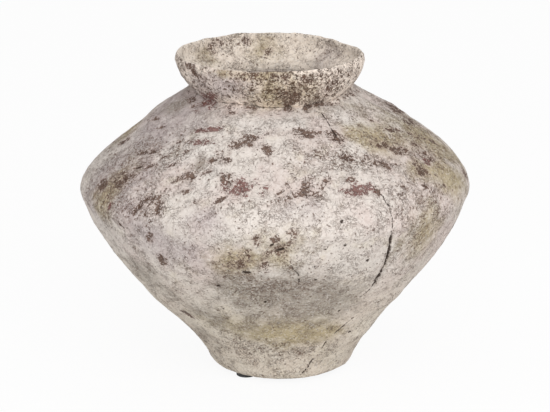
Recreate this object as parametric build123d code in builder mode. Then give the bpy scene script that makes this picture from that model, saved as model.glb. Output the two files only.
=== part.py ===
"""Hand-built earthenware storage jar: luted clay courses, seam coils and rubber floor pads."""

import os

from build123d import *

# Driving dimensions in millimetres
PAD_COUNT = 3
PAD_RADIUS = 11.0
PAD_THICKNESS = 5.0
PAD_CIRCLE = 55.0  # radius of the circle through the pad centres
PAD_BEARING = 235.0  # degrees from +X of the first pad
PAD_EDGE = 1.5  # rounding of the pad's lower rim

BASE_RADIUS = 70.0  # flat underside
BASE_THICKNESS = 14.0
FLOOR_CORNER = 10.0  # width of the turn from the inner floor up into the wall
FOOT_RADIUS = 83.5
FOOT_RISE = 15.0  # from the underside to the first seam
WAIST_RADIUS = 111.5
WAIST_RISE = 38.0  # from the first seam
LOWER_RADIUS = 168.5
LOWER_RISE = 66.0  # from the waist
BELLY_RADIUS = 215.0
BELLY_RISE = 86.0  # from the lower wall's middle
RIDGE_INSET = 2.4  # from the belly's radius in to either side of its ridge
RIDGE_RISE = 9.0  # from the belly to either side of its ridge
LOWER_TURN_INSET = 12.0  # from the belly's radius in to where it turns into the wall below
LOWER_TURN_DROP = 34.0  # from the belly
UPPER_TURN_INSET = 15.7  # from the belly's radius in to where it turns into the wall above
UPPER_TURN_RISE = 28.0  # from the belly
SHOULDER_RADIUS = 153.5
SHOULDER_RISE = 67.0  # from the belly
NECK_RADIUS = 87.5
NECK_RISE = 44.0  # from the shoulder's middle
MOUTH_RADIUS = 105.5
MOUTH_RISE = 31.0  # from the neck
COLLAR_CROWN = 3.0  # how far the collar's side bows outwards
LIP_THICKNESS = 6.0
LIP_CROWN = 7.0  # height of the rounded lip above the mouth's widest ring

WALL = 12.0
BELLY_COURSE = 64.0  # width of the belly course, measured up the wall
RIM_COURSE = 13.0  # width of the rim course below the mouth's widest ring
GROOVE_RADIUS = 2.5  # finger groove that seats one course in the next
COIL_RADIUS = 7.0  # clay coil pressed over the inside of a seam
SEAM_REACH = 20.0  # how far a seam is drawn past both faces of the wall

# Directions of the outline, as radius and height
FOOT_SLOPE = (0.5, 0.87)
NECK_SLOPE = (-0.86, 0.51)
UPRIGHT = (0, 1)
OUTWARD = (1, 0)
HALF_TURN = 180  # degrees

LOWER_COURSES = ("foot_course", "lower_wall_course", "upper_wall_course")
UPPER_COURSES = ("lower_shoulder_course", "upper_shoulder_course")
COURSES = (*LOWER_COURSES, "belly_course", *UPPER_COURSES, "neck_collar", "rim_lip")
SMOOTHED_COURSES = ("neck_collar", "rim_lip")  # within a hand's reach, so their seams are wiped smooth

# Heights above the surface that the jar stands on
base_z = PAD_THICKNESS
floor_z = base_z + BASE_THICKNESS
foot_z = base_z + FOOT_RISE
waist_z = foot_z + WAIST_RISE
lower_z = waist_z + LOWER_RISE
belly_z = lower_z + BELLY_RISE
shoulder_z = belly_z + SHOULDER_RISE
neck_z = shoulder_z + NECK_RISE
mouth_z = neck_z + MOUTH_RISE
lip_z = mouth_z + LIP_CROWN

ridge_radius = BELLY_RADIUS - RIDGE_INSET
lower_turn_radius = BELLY_RADIUS - LOWER_TURN_INSET
upper_turn_radius = BELLY_RADIUS - UPPER_TURN_INSET

# Outline of the outside, as radius and height, from the underside to the lip
with BuildLine() as outline:
    underside = Line((0, base_z), (BASE_RADIUS, base_z))
    foot_turn = Spline(
        (BASE_RADIUS, base_z),
        (FOOT_RADIUS, foot_z),
        tangents=(OUTWARD, FOOT_SLOPE),
    )
    lower_wall = Spline(
        (FOOT_RADIUS, foot_z),
        (WAIST_RADIUS, waist_z),
        (LOWER_RADIUS, lower_z),
        (lower_turn_radius, belly_z - LOWER_TURN_DROP),
        (ridge_radius, belly_z - RIDGE_RISE),
        (BELLY_RADIUS, belly_z),
        tangents=(FOOT_SLOPE, UPRIGHT),
    )
    shoulder = Spline(
        (BELLY_RADIUS, belly_z),
        (ridge_radius, belly_z + RIDGE_RISE),
        (upper_turn_radius, belly_z + UPPER_TURN_RISE),
        (SHOULDER_RADIUS, shoulder_z),
        (NECK_RADIUS, neck_z),
        tangents=(UPRIGHT, NECK_SLOPE),
    )
    collar = SagittaArc((NECK_RADIUS, neck_z), (MOUTH_RADIUS, mouth_z), -COLLAR_CROWN)
    lip = EllipticalCenterArc(
        (MOUTH_RADIUS - LIP_THICKNESS / 2, mouth_z), LIP_THICKNESS / 2, LIP_CROWN, arc_size=HALF_TURN
    )


class Station:
    """A place on the wall: its point on the outside, the way up the wall and the way in."""

    def __init__(self, point, upward):
        self.point = Vector(*point)
        self.upward = Vector(*upward).normalized()
        self.inward = Vector(-self.upward.Y, self.upward.X)

    def at(self, depth, rise=0.0):
        """The point at a depth from the outside and a rise up the wall."""
        return self.point + self.inward * depth + self.upward * rise


def station_on(edge, length):
    """The station at a length up one edge of the outline."""
    point = edge.position_at(length, position_mode=PositionMode.LENGTH)
    return Station(point, edge.tangent_at(length, position_mode=PositionMode.LENGTH))


def stations_between(edge, start, end, count):
    """Seams at equal steps from start up to end, with the middle of each course between them."""
    step = (end - start) / (2 * count)
    return [station_on(edge, start + step * i) for i in range(2 * count)]


# Stations up the wall: a seam, the middle of the course above it, the next seam, and so on
belly_low = lower_wall.length - BELLY_COURSE / 2
lower_stations = stations_between(lower_wall, 0, belly_low, len(LOWER_COURSES))
lower_stations += [station_on(lower_wall, belly_low)]
belly_station = Station((BELLY_RADIUS, belly_z), UPRIGHT)
upper_stations = stations_between(shoulder, BELLY_COURSE / 2, shoulder.length, len(UPPER_COURSES))
neck_station = Station((NECK_RADIUS, neck_z), UPRIGHT)
collar_stations = stations_between(collar, 0, collar.length - RIM_COURSE, 1)[1:]
rim_stations = [station_on(collar, collar.length - RIM_COURSE)]
stations = [*lower_stations, belly_station, *upper_stations, neck_station, *collar_stations, *rim_stations]
seams = stations[::2]
middles = stations[1::2]

# The inside follows the stations one wall thickness in
inner_foot = lower_stations[0].at(WALL)
with BuildLine() as inside:
    inner_floor = Line((0, floor_z), (inner_foot.X - FLOOR_CORNER, floor_z))
    inner_corner = Spline(inner_floor @ 1, inner_foot, tangents=(OUTWARD, FOOT_SLOPE))
    inner_lower = Spline(
        *[station.at(WALL) for station in [*lower_stations, belly_station]],
        tangents=(FOOT_SLOPE, UPRIGHT),
    )
    inner_shoulder = Spline(
        *[station.at(WALL) for station in [belly_station, *upper_stations, neck_station]],
        tangents=(UPRIGHT, UPRIGHT),
    )
    inner_collar = Spline(neck_station.at(WALL), lip @ 1, tangents=(UPRIGHT, collar % 1))

# Half section of the whole clay wall and base
with BuildSketch(Plane.XZ) as clay_section:
    with BuildLine():
        add(outline.line)
        add(inside.line)
        Line((0, base_z), (0, floor_z))
    make_face()


def draw_seam(seam):
    """Draws a seam from outside the wall to inside it, dipping into its finger groove."""
    groove_start = seam.at(WALL / 2 - GROOVE_RADIUS)
    groove_end = seam.at(WALL / 2 + GROOVE_RADIUS)
    Line(seam.at(-SEAM_REACH), groove_start)
    ThreePointArc(groove_start, seam.at(WALL / 2, -GROOVE_RADIUS), groove_end)
    Line(groove_end, seam.at(WALL + SEAM_REACH))


def write_piece(builder, name):
    """Labels a finished piece and writes it under its name."""
    builder.part.label = name
    export_step(builder.part, f"parts/{name}.step")


os.makedirs("parts", exist_ok=True)

# Base disc: all the clay below the first seam
with BuildPart() as base_disc:
    with BuildSketch(Plane.XZ):
        add(clay_section.sketch)
        with BuildLine():
            draw_seam(seams[0])
            Polyline(
                seams[0].at(WALL + SEAM_REACH),
                (0, seams[0].at(WALL + SEAM_REACH).Y),
                (0, base_z - SEAM_REACH),
                (FOOT_RADIUS + SEAM_REACH, base_z - SEAM_REACH),
                seams[0].at(-SEAM_REACH),
            )
        make_face(mode=Mode.INTERSECT)
    revolve(axis=Axis.Z)
write_piece(base_disc, "base_disc")

# Wall courses: the clay between one seam and the next
for name, seam, middle, next_seam in zip(COURSES[:-1], seams, middles, seams[1:]):
    with BuildPart() as course:
        with BuildSketch(Plane.XZ):
            add(clay_section.sketch)
            with BuildLine():
                draw_seam(seam)
                draw_seam(next_seam)
                for depth in (-SEAM_REACH, WALL + SEAM_REACH):
                    Polyline(seam.at(depth), middle.at(depth), next_seam.at(depth))
            make_face(mode=Mode.INTERSECT)
        revolve(axis=Axis.Z)
    write_piece(course, name)

# Rim lip: all the clay above the last seam
with BuildPart() as rim_lip:
    with BuildSketch(Plane.XZ):
        add(clay_section.sketch)
        with BuildLine():
            draw_seam(seams[-1])
            Polyline(
                seams[-1].at(WALL + SEAM_REACH),
                (seams[-1].at(WALL + SEAM_REACH).X, lip_z + SEAM_REACH),
                (seams[-1].at(-SEAM_REACH).X, lip_z + SEAM_REACH),
                seams[-1].at(-SEAM_REACH),
            )
        make_face(mode=Mode.INTERSECT)
    revolve(axis=Axis.Z)
write_piece(rim_lip, "rim_lip")

# Seam coils: a clay coil pressed over the inside of each seam that a hand can't wipe smooth
for name, seam in zip(COURSES, seams):
    if name in SMOOTHED_COURSES:
        continue
    with BuildPart() as coil:
        with BuildSketch(Plane.XZ):
            with Locations(seam.at(WALL)):
                Circle(COIL_RADIUS)
            add(clay_section.sketch, mode=Mode.SUBTRACT)
        revolve(axis=Axis.Z)
    write_piece(coil, f"{name}_seam_coil")

# Floor pads: rubber buttons stuck under the base
pad_places = PolarLocations(PAD_CIRCLE, PAD_COUNT, start_angle=PAD_BEARING).locations
for number, place in enumerate(pad_places, start=1):
    with BuildPart() as pad:
        with BuildSketch(Plane(place)):
            Circle(PAD_RADIUS)
        extrude(amount=PAD_THICKNESS)
        fillet(pad.edges().group_by(Axis.Z)[0], radius=PAD_EDGE)
    write_piece(pad, f"floor_pad_{number}")
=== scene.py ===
"""A weathered, lime-washed earthenware storage jar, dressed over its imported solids."""

import math
from typing import NamedTuple

import bmesh
import bpy
import numpy as np
from bpy.props import FloatProperty, FloatVectorProperty, IntProperty, PointerProperty
from mathutils import Color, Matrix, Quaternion, Vector
from mathutils.bvhtree import BVHTree


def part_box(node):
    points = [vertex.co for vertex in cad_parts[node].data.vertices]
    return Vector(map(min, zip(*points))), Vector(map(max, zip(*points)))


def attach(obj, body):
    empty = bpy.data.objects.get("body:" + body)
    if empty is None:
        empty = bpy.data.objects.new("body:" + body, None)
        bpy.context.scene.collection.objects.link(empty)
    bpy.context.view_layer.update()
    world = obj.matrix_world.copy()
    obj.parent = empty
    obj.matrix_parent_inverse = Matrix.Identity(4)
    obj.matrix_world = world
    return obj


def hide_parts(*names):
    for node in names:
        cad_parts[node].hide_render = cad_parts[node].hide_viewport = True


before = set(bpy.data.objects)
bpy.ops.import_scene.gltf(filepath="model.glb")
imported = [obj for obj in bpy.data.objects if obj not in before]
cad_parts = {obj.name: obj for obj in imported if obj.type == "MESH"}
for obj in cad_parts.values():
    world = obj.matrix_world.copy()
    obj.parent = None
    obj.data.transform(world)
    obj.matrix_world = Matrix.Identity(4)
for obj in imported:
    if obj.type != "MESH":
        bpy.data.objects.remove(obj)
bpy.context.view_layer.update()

bl_info = {
    "name": "Weathered Storage Jar",
    "version": (1, 0, 0),
    "blender": (4, 5, 0),
    "location": "View3D > Sidebar > Jar",
    "description": "Dresses the courses of a hand-built storage jar with worn lime wash",
    "category": "Object",
}

WALL_COURSES = (
    "foot_course",
    "lower_wall_course",
    "upper_wall_course",
    "belly_course",
    "lower_shoulder_course",
    "upper_shoulder_course",
)
COLLAR_PIECES = ("neck_collar", "rim_lip")
CLAY_NODES = ("base_disc", *WALL_COURSES, *COLLAR_PIECES)
SEAM_COILS = tuple(f"{course}_seam_coil" for course in WALL_COURSES)
FLOOR_PADS = ("floor_pad_1", "floor_pad_2", "floor_pad_3")
BODY = "root"

MM = 0.001  # the scene's unit is the metre
BYTE = 255
WELD = 1e-6
SEAM_TOUCH = 0.05 * MM
SEAM_WIDTH = 20 * MM  # longer than the wall is thick
LEVEL = 0.01  # a surface that leans out by more than this is on the outside
SHARP_CORNER = math.radians(65)
WEDGE_STEPS = 30

# The photograph's frame and the fitted camera
IMAGE_WIDTH = 550
IMAGE_HEIGHT = 412
SENSOR = 36.0  # millimetres
LENS_PIXELS = 2650.0  # focal length
BELLY_PIXEL = (274.5, 182.8)
VIEW_ELEVATION = math.radians(15.0)
VIEW_DISTANCE = 2.95  # from the belly's centre
PLACE_TRIES = 4
CAMERA_RAYS = ("Is Camera Ray", "Is Glossy Ray", "Is Transmission Ray")
KEY_PLACE = (0.5, -2.6, 1.7)


def srgb(red, green, blue):
    """Scene-linear colour of an eight-bit display colour."""
    shares = [value / BYTE for value in (red, green, blue)]
    return tuple(Color(shares).from_srgb_to_scene_linear())


def belly_height():
    """Height of the widest ring of the jar."""
    points = [vertex.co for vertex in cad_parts["belly_course"].data.vertices]
    return max(points, key=lambda point: math.hypot(point.x, point.y)).z


BELLY_HEIGHT = belly_height()
RIM_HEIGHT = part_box("rim_lip")[1].z
NECK_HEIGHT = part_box("neck_collar")[0].z
BASE_EDGE = 68 * MM  # radius beyond which a row that faces out belongs to the wall


class Patch(NamedTuple):
    """A mark on the wall, by its place in the photograph, its real size, its turn and its strength."""

    name: str
    pixel: tuple
    size_mm: tuple
    turn: float = 0.0  # degrees
    strength: float = 1.0


class Swell(NamedTuple):
    """A broad bump or dent of the wall, by its place in the photograph, reach and height."""

    name: str
    pixel: tuple
    reach_mm: float
    height_mm: float


class Crack(NamedTuple):
    """A crack or groove, by the pixels that it passes, its width and its depth."""

    name: str
    pixels: tuple
    width_mm: float
    depth_mm: float


class Stray(NamedTuple):
    """How far the jar's axis strays towards +X at a height above the floor."""

    height_mm: float
    shift_mm: float


class RimDent(NamedTuple):
    """Where the mouth is pressed in: its bearing and half width in degrees, and its depth."""

    bearing: float
    half_width: float
    depth_mm: float


class Place(NamedTuple):
    """A place on the wall: its bearing, its length up the wall and its side."""

    bearing: float
    length: float
    outside: bool = True


class Mark(NamedTuple):
    """A patch in its place on the wall."""

    finish: str
    place: Place
    half_sizes: tuple
    turn: float
    strength: float = 1.0


class Lump(NamedTuple):
    """A random shape: the size of its lumps, its step from the first seed and its octaves."""

    size: float
    seed_step: int
    octaves: int


# Short flakes along the strokes of the hand, on the left and on the right of the photograph
STROKE_MM = (14, 5.5)
STROKE_STRENGTH = 0.95
LEFT_TURN = 35  # degrees
RIGHT_TURN = -42
LEFT_STROKES = (
    (189, 151), (172, 165), (166, 156), (152, 166), (121, 174), (103, 180), (115, 154), (160, 125),
    (177, 180), (196, 202), (207, 172), (214, 160), (137, 168), (178, 142), (221, 199), (188, 190),
)
RIGHT_STROKES = (
    (390, 131), (410, 134), (394, 164), (403, 187), (444, 186), (452, 191), (425, 186), (416, 145),
    (372, 121), (436, 176),
)
STROKES = tuple(
    Patch("stroke", pixel, STROKE_MM, turn, STROKE_STRENGTH)
    for turn, pixels in ((LEFT_TURN, LEFT_STROKES), (RIGHT_TURN, RIGHT_STROKES))
    for pixel in pixels
)

# Marks of the photograph, by their finish
PATCHES = {
    "flake": (
        Patch("belly rust, dark lobe", (226, 181), (16, 20), 20),
        Patch("belly rust, right tail", (376, 192), (12, 12)),
        Patch("belly flakes, middle", (301, 191), (46, 26), 5, 0.85),
        Patch("belly flakes, lower tail", (316, 196), (18, 12)),
        Patch("shoulder flakes, left", (243, 143), (40, 11), 32, 1.2),
        Patch("shoulder flakes, mid", (266, 149), (10, 15), 20, 1.3),
        Patch("small flake, left", (227, 162), (11, 9), 30),
        Patch("shoulder flecks, left", (187, 176), (22, 10), 10),
        Patch("flake by the neck crack", (307, 134), (26, 10), -12, 1.3),
        Patch("crack end flake", (335, 136), (18, 14), -38, 1.3),
        Patch("olive bloom streak", (389, 147), (32, 14), -42, 1.1),
        Patch("shoulder cluster, right", (350, 159), (22, 10), -12),
        Patch("shoulder cluster, outer right", (377, 165), (30, 18), -25, 1.0),
        Patch("right belly flake", (418, 168), (16, 18), 0, 1.1),
        Patch("right belly flake, lobe", (426, 171), (10, 13), 20, 1.2),
        Patch("right belly flake, upper", (424, 153), (26, 10), -20, 0.8),
        Patch("right belly crumb", (433, 160), (16, 9), -30, 0.9),
        Patch("right shoulder streak, upper", (408, 122), (18, 8), -38, 0.5),
        Patch("right shoulder streak, middle", (398, 131), (24, 8), -40, 0.8),
        Patch("right shoulder streak, lower", (403, 149), (26, 7), -48, 0.8),
        Patch("right edge streak", (430, 141), (34, 9), -42, 0.55),
        Patch("brown strokes", (326, 181), (15, 9), 20),
        Patch("brown strokes, right", (350, 181), (12, 8), 20),
        Patch("left belly streaks", (122, 181), (46, 17), 22),
        Patch("left belly crumb", (101, 186), (26, 14), 20),
        Patch("left shoulder crumb", (146, 152), (34, 9), 30),
        Patch("left neck crumb", (156, 117), (22, 8), 35),
        Patch("left belly flake", (157, 204), (20, 21), 20, 1.3),
        Patch("left belly streak", (143, 203), (8, 40), -28, 0.7),
        Patch("gouge", (121, 226), (14, 9), -50),
        Patch("left flecks, upper", (149, 235), (10, 16), -30),
        Patch("left flecks, lower", (162, 262), (12, 20), -30),
        Patch("small flake, middle", (256, 240), (11, 14), 15),
        Patch("small flake, middle right", (276, 241), (10, 9)),
        Patch("stain with pits, core", (282, 251), (46, 36), 30, 0.6),
        Patch("stain with pits, right", (291, 240), (13, 20), 0, 0.9),
        Patch("stain with pits, left", (279, 252), (18, 9), 0, 1.2),
        Patch("stain with pits, lower", (265, 268), (18, 14), -30, 0.9),
        Patch("lower ochre flakes", (240, 263), (44, 26), 15, 0.5),
        Patch("waist flecks", (187, 314), (16, 10), -40),
        Patch("collar brown, middle", (295, 95), (56, 32), 5, 0.65),
        Patch("collar brown, right", (328, 90), (40, 36), 60, 0.5),
        Patch("collar brown, far right", (318, 102), (44, 12), 0, 0.7),
        Patch("collar brown, upper", (308, 82), (44, 14), 20, 0.7),
        Patch("lip smear", (245, 73), (36, 10), 0, 0.9),
        Patch("lip smear, lower", (252, 79), (46, 7), 0, 0.65),
        Patch("lip smear, right", (276, 77), (22, 9), 0, 0.75),
        Patch("lip crumb, left", (189, 68), (34, 15), -35),
        # Painted shade in the crease under the collar, laid as bare clay
        Patch("neck shade, left", (193, 98), (20, 16), -40),
        Patch("neck shade, front", (231, 110), (20, 7)),
        Patch("mouth flake", (214, 43), (22, 12), -35),
        Patch("mouth flake, small", (247, 41), (9, 8), 40),
        Patch("mouth flake, middle", (268, 53), (14, 10), 0, 0.7),
        *STROKES,
    ),
    "rust": (
        Patch("belly rust, left", (245, 187), (44, 30), -8, 0.75),
        Patch("belly rust, right", (361, 190), (31, 17), -10, 1.1),
        Patch("shoulder streak, upper", (207, 130), (30, 9), 18),
        Patch("shoulder streak, lower", (201, 142), (24, 8), 8, 1.15),
        Patch("right mauve", (426, 160), (34, 20), -40, 0.45),
        Patch("left tan stain", (108, 206), (50, 30), -20, 0.2),
        Patch("collar rust, left", (209, 97), (40, 36), -50, 0.75),
    ),
    "ochre": (
        Patch("olive bloom", (374, 140), (56, 36), -38, 1.3),
        Patch("right shoulder ochre", (425, 138), (130, 70), -38, 1.2),
        Patch("right shoulder band", (432, 172), (90, 34), -20),
        Patch("right neck ochre", (396, 120), (70, 36), -35, 0.8),
        Patch("right belly ochre", (452, 180), (90, 60), -30),
        Patch("right lower ochre", (428, 225), (80, 80), 40, 0.8),
        Patch("left belly tan", (108, 192), (60, 80), 0, 0.8),
        Patch("stain with pits", (284, 248), (60, 54), 20),
        Patch("lower ochre stain", (236, 263), (56, 40), 10),
        Patch("foot olive", (284, 333), (120, 46), -5, 1.3),
        Patch("collar ochre, middle", (290, 92), (90, 44)),
        Patch("lip smear, ochre", (252, 75), (90, 15)),
        Patch("mouth ochre, middle", (262, 47), (46, 34), 0, 0.6),
        Patch("mouth ochre, left", (204, 52), (70, 60), 0, 0.25),
    ),
    # Grey dirt; the patches by the left of the neck and low inside the mouth are painted shade, and those
    # over the low wall's hollow are partly painted shade
    "grime_and_shade": (
        Patch("grey scab", (199, 165), (18, 20)),
        Patch("left neck shade", (174, 105), (64, 36), 32, 0.8),
        Patch("lower grey veil", (245, 292), (96, 60), -8, 1.0),
        Patch("lower grime", (292, 303), (104, 60), -8, 1.7),
        Patch("lower left grime", (214, 318), (90, 60), -35, 0.7),
        Patch("left low veil", (150, 280), (80, 130), 45, 0.6),
        Patch("left foot veil", (203, 334), (50, 56), 0, 0.6),
        Patch("low wall veil", (215, 300), (180, 110), 0, 0.1),
        Patch("mouth shade, low right", (312, 62), (60, 24), 0, 0.1),
        Patch("mouth shade, low left", (206, 61), (44, 24), 0, 0.1),
    ),
    # Cool grey tint of the wash; along the left shoulder, at the left of the neck and on the right inside the
    # mouth it also stands in for shade, as painted shade
    "lilac_and_shade": (
        Patch("left shoulder lilac", (150, 128), (150, 80), 32, 0.9),
        Patch("left belly lilac", (150, 235), (120, 50), -25),
        Patch("left neck shade, cool grey", (174, 105), (80, 46), 32, 1.6),
        Patch("left belly veil", (110, 178), (110, 84)),
        Patch("left front veil", (205, 218), (120, 60), 0, 0.2),
        Patch("front veil", (290, 208), (90, 60), 0, 0.2),
        Patch("collar veil, left", (222, 87), (100, 44), 0, 0.9),
        Patch("mouth grey, right", (330, 52), (90, 70), 0, 0.5),
    ),
    "speckle": (
        Patch("shoulder speckle field", (335, 158), (110, 52), -12, 0.6),
        Patch("right shoulder speckle", (420, 140), (130, 80), -35),
        Patch("right belly speckle", (432, 205), (110, 110), 0, 0.6),
        Patch("right lower speckle", (415, 245), (70, 70), 40, 0.6),
        Patch("left shoulder speckle", (140, 155), (170, 66), 28),
        Patch("left belly speckle", (118, 195), (130, 60)),
        Patch("front speckle", (286, 206), (90, 50), 0, 0.3),
        Patch("left middle flecks", (195, 172), (110, 60), 10, 0.2),
        Patch("lower speckle", (270, 285), (170, 80), 0, 0.5),
        Patch("foot speckle", (265, 350), (140, 50), 0, 0.5),
        Patch("collar speckle", (298, 87), (150, 26), 0, 1.1),
        Patch("mouth speckle, left", (225, 50), (110, 70), 0, 0.4),
        Patch("mouth speckle, right", (338, 50), (70, 60), 0, 0.4),
    ),
    "fresh": (
        Patch("fresh wash, shoulder", (262, 123), (110, 34)),
        Patch("fresh wash, by the neck crack", (351, 122), (44, 34), -30, 1.2),
        Patch("fresh wash, left of the shoulder", (200, 150), (80, 50), 20, 0.6),
        Patch("fresh wash, left of the belly", (206, 181), (56, 54), 0, 0.6),
    ),
}

SWELLS = (
    Swell("right foot bulge", (360, 331), 20, 4.0),
    Swell("right foot notch", (376, 312), 15, -3.0),
    Swell("left waist notch", (197, 330), 22, -1.5),
    Swell("left lower bulge", (150, 290), 40, 1.5),
    Swell("middle hollow", (294, 304), 60, -4.5),
    Swell("middle bulge", (322, 238), 52, 2.5),
    Swell("left middle hollow", (232, 290), 30, -2.5),
    Swell("left middle ridge", (205, 262), 34, 1.8),
    Swell("left shoulder hollow", (165, 125), 34, -2.0),
    Swell("left shoulder bulge", (200, 150), 30, 1.5),
    Swell("crack shoulder", (370, 245), 30, 1.8),
    Swell("crack hollow", (402, 250), 22, -1.6),
    Swell("olive hollow", (284, 250), 14, -1.6),
    Swell("right neck hollow", (375, 98), 26, -4.5),
    Swell("left low flat", (113, 246), 45, -3.6),
    Swell("right low flat", (434, 250), 36, -3.2),
    Swell("right low bulge", (388, 299), 28, 4.5),
)

CRACKS = (
    Crack("neck crack", ((314, 109), (321, 112), (326, 120), (331, 128), (336, 136)), 2.0, 1.2),
    Crack("belly crack, upper", ((381, 195), (389, 207), (392, 222), (391, 240)), 2.4, 1.4),
    Crack("belly crack, middle", ((391, 236), (389, 255), (384, 267), (376, 280)), 5.2, 3.2),
    Crack("belly crack, lower", ((378, 278), (367, 292), (360, 298)), 2.4, 1.2),
    Crack("waist crack", ((352, 319), (340, 329), (327, 340), (322, 348)), 2.2, 1.0),
    Crack("foot crack", ((312, 360), (307, 368), (300, 375)), 2.6, 1.8),
    Crack("deep pit", ((244, 274), (248, 274)), 6.5, 2.5),
    Crack("stain pit", ((277, 252), (283, 251)), 4.0, 2.0),
    Crack("gouge", ((118, 222), (121, 226), (123, 228)), 4.0, 2.0),
    Crack("hollow crack", ((293, 268), (299, 277), (300, 284)), 2.2, 1.0),
)

PIT_PIXELS = (
    (246, 274), (218, 287), (265, 305), (223, 310), (371, 246), (367, 260), (345, 245), (315, 267),
    (316, 282), (340, 312), (353, 318), (349, 331), (335, 354), (121, 226), (341, 222), (325, 249),
    (278, 252), (287, 257), (272, 246),
)

STRAYS = (
    Stray(0, 7.8), Stray(50, 6.0), Stray(80, 2.2), Stray(200, -0.4), Stray(215, 0.5), Stray(245, 4.4),
    Stray(265, 4.4), Stray(290, 2.6), Stray(305, -2.6), Stray(330, -4.2), Stray(360, -5.6),
)
RIM_DENTS = (RimDent(34, 22, 8.0), RimDent(142, 25, 2.5))
STRAY_BLEND = np.linspace(-8, 8, 9) * MM  # heights over which the stray is averaged

# Wear on the side that the photograph doesn't show
BACK_FINISHES = (*["flake"] * 8, "rust", "ochre", "grime_and_shade", "lilac_and_shade", "speckle", "speckle")
BACK_SIZES_MM = {
    "flake": (10, 45),
    "rust": (18, 42),
    "ochre": (45, 110),
    "grime_and_shade": (50, 110),
    "lilac_and_shade": (80, 150),
    "speckle": (90, 160),
}
BACK_HALF = math.radians(98)  # to either side of the back's middle
BACK_SPAN = (0.08, 0.97)  # shares of the way up the wall
BACK_FLATNESS = (0.35, 0.8)  # a patch's height as a share of its width
BACK_TURN = 0.6  # radians

# Random shapes that weather and hands left
BROAD_LUMP = Lump(95 * MM, 0, 2)
HAND_LUMP = Lump(32 * MM, 3, 2)
GRAIN_LUMP = Lump(7 * MM, 5, 3)
CRACK_PATH = Lump(6 * MM, 7, 2)
CRACK_WIDTH = Lump(6 * MM, 9, 2)
LIP_LUMP = Lump(11 * MM, 11, 3)
SEAM_LUMP = Lump(26 * MM, 13, 3)
BACK_PITS_STEP = 1  # from the first seed
PIT_SIZES_STEP = 2

# The lumps of each finish's ragged edge, and the share of a patch that they take
EDGES = {
    "flake": (Lump(9 * MM, 20, 3), 0.75),
    "rust": (Lump(8 * MM, 25, 3), 0.6),
    "ochre": (Lump(26 * MM, 30, 3), 0.4),
    "grime_and_shade": (Lump(26 * MM, 35, 3), 0.4),
    "lilac_and_shade": (Lump(40 * MM, 40, 3), 0.4),
    "speckle": (Lump(26 * MM, 45, 3), 0.4),
    "fresh": (Lump(26 * MM, 50, 3), 0.4),
}

# Depths and reaches of the wear
FAR = -1.0  # a field's value far from its patches
WORN_EDGE = (-0.1, 0.5)  # values of a field between which a flake deepens
FLAKE_DEPTH = 0.6 * MM
CRACK_STRAY = 1.0 * MM
CRACK_LEAST = 0.8 * MM  # least half width
CRACK_FILL = 0.9  # mean share of its width that a crack takes
CRACK_SPREAD = 0.5  # how far that share varies
PIT_RADIUS = 1.9 * MM
PIT_DEPTH = 1.6 * MM
PIT_SPREAD = 0.35  # how far a pit's radius varies
NECK_REACH = 12 * MM  # how far from the neck seam its sag is felt
# A dark ring of bare-clay colour along the neck seam: painted shade in the crease under the collar
NECK_SHADE_WIDTH = 5 * MM
NECK_SHADE_STRENGTH = 0.1
NECK_WASH = (-2 * MM, 5 * MM)  # heights from the neck seam between which the collar's wash starts
NECK_FRONT = 0.6  # share of the radius towards the front, beyond which the neck seam sags in full
LIP_REACH = 22 * MM
LEVEL_FADE = 2  # how soon the hand's lumps fade where a surface turns level


# The photograph's viewpoint


class PhotoCamera:
    """The photograph's viewpoint, with the jar's belly centre at its own pixel."""

    def __init__(self):
        centre = Vector((0, 0, BELLY_HEIGHT))
        self.back = Vector((0, -math.cos(VIEW_ELEVATION), math.sin(VIEW_ELEVATION)))
        self.place = centre + self.back * VIEW_DISTANCE
        self.right = Vector((1, 0, 0))
        self.up = self.back.cross(self.right)
        across, down = self.slope(BELLY_PIXEL)
        tilt = Quaternion(self.right, math.atan(down))
        self.up.rotate(tilt)
        self.back.rotate(tilt)
        swing = Quaternion(self.up, math.atan(across))
        self.right.rotate(swing)
        self.back.rotate(swing)

    @staticmethod
    def slope(pixel):
        """How far right and down a pixel's ray goes for each unit forward."""
        return (pixel[0] - IMAGE_WIDTH / 2) / LENS_PIXELS, (pixel[1] - IMAGE_HEIGHT / 2) / LENS_PIXELS

    def ray(self, pixel):
        """Direction of the ray through a pixel."""
        across, down = self.slope(pixel)
        return (self.right * across - self.up * down - self.back).normalized()


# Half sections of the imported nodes


def search_trees():
    """A search tree for the faces of each clay node and seam coil."""
    graph = bpy.context.evaluated_depsgraph_get()
    return {name: BVHTree.FromObject(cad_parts[name], graph) for name in (*CLAY_NODES, *SEAM_COILS)}


TREES = search_trees()


def half_section(node):
    """The node's half section on the +X side of its axis, which a full turn makes the node."""
    section = bmesh.new()
    section.from_mesh(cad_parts[node].data)
    bmesh.ops.remove_doubles(section, verts=section.verts, dist=WELD)
    for normal, both_sides in (((0, 1, 0), True), ((1, 0, 0), False)):
        bmesh.ops.bisect_plane(
            section,
            geom=[*section.verts, *section.edges, *section.faces],
            dist=WELD,
            plane_co=(0, 0, 0),
            plane_no=normal,
            clear_inner=True,
            clear_outer=both_sides,
        )
    return section


def middle(edge):
    """The middle of an edge."""
    return (edge.verts[0].co + edge.verts[1].co) / 2


def neighbours(node):
    """The search trees of the other clay nodes."""
    return [TREES[name] for name in CLAY_NODES if name != node]


def straighten_seams(section, node):
    """Replaces each grooved seam of a section by one straight edge between its two corners."""
    others = neighbours(node)
    seam = {e for e in section.edges if any(tree.find_nearest(middle(e), SEAM_TOUCH)[0] for tree in others)}
    grooved = [v for v in section.verts if all(e in seam for e in v.link_edges)]
    corners = [v for v in section.verts if len({e in seam for e in v.link_edges}) == 2]
    bmesh.ops.delete(section, geom=grooved, context="VERTS")
    straight = []
    for corner in corners:
        across = [v for v in corners if 0 < (v.co - corner.co).length < SEAM_WIDTH]
        straight += [section.edges.new((corner, v)) for v in across if not section.edges.get((corner, v))]
    return straight


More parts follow.
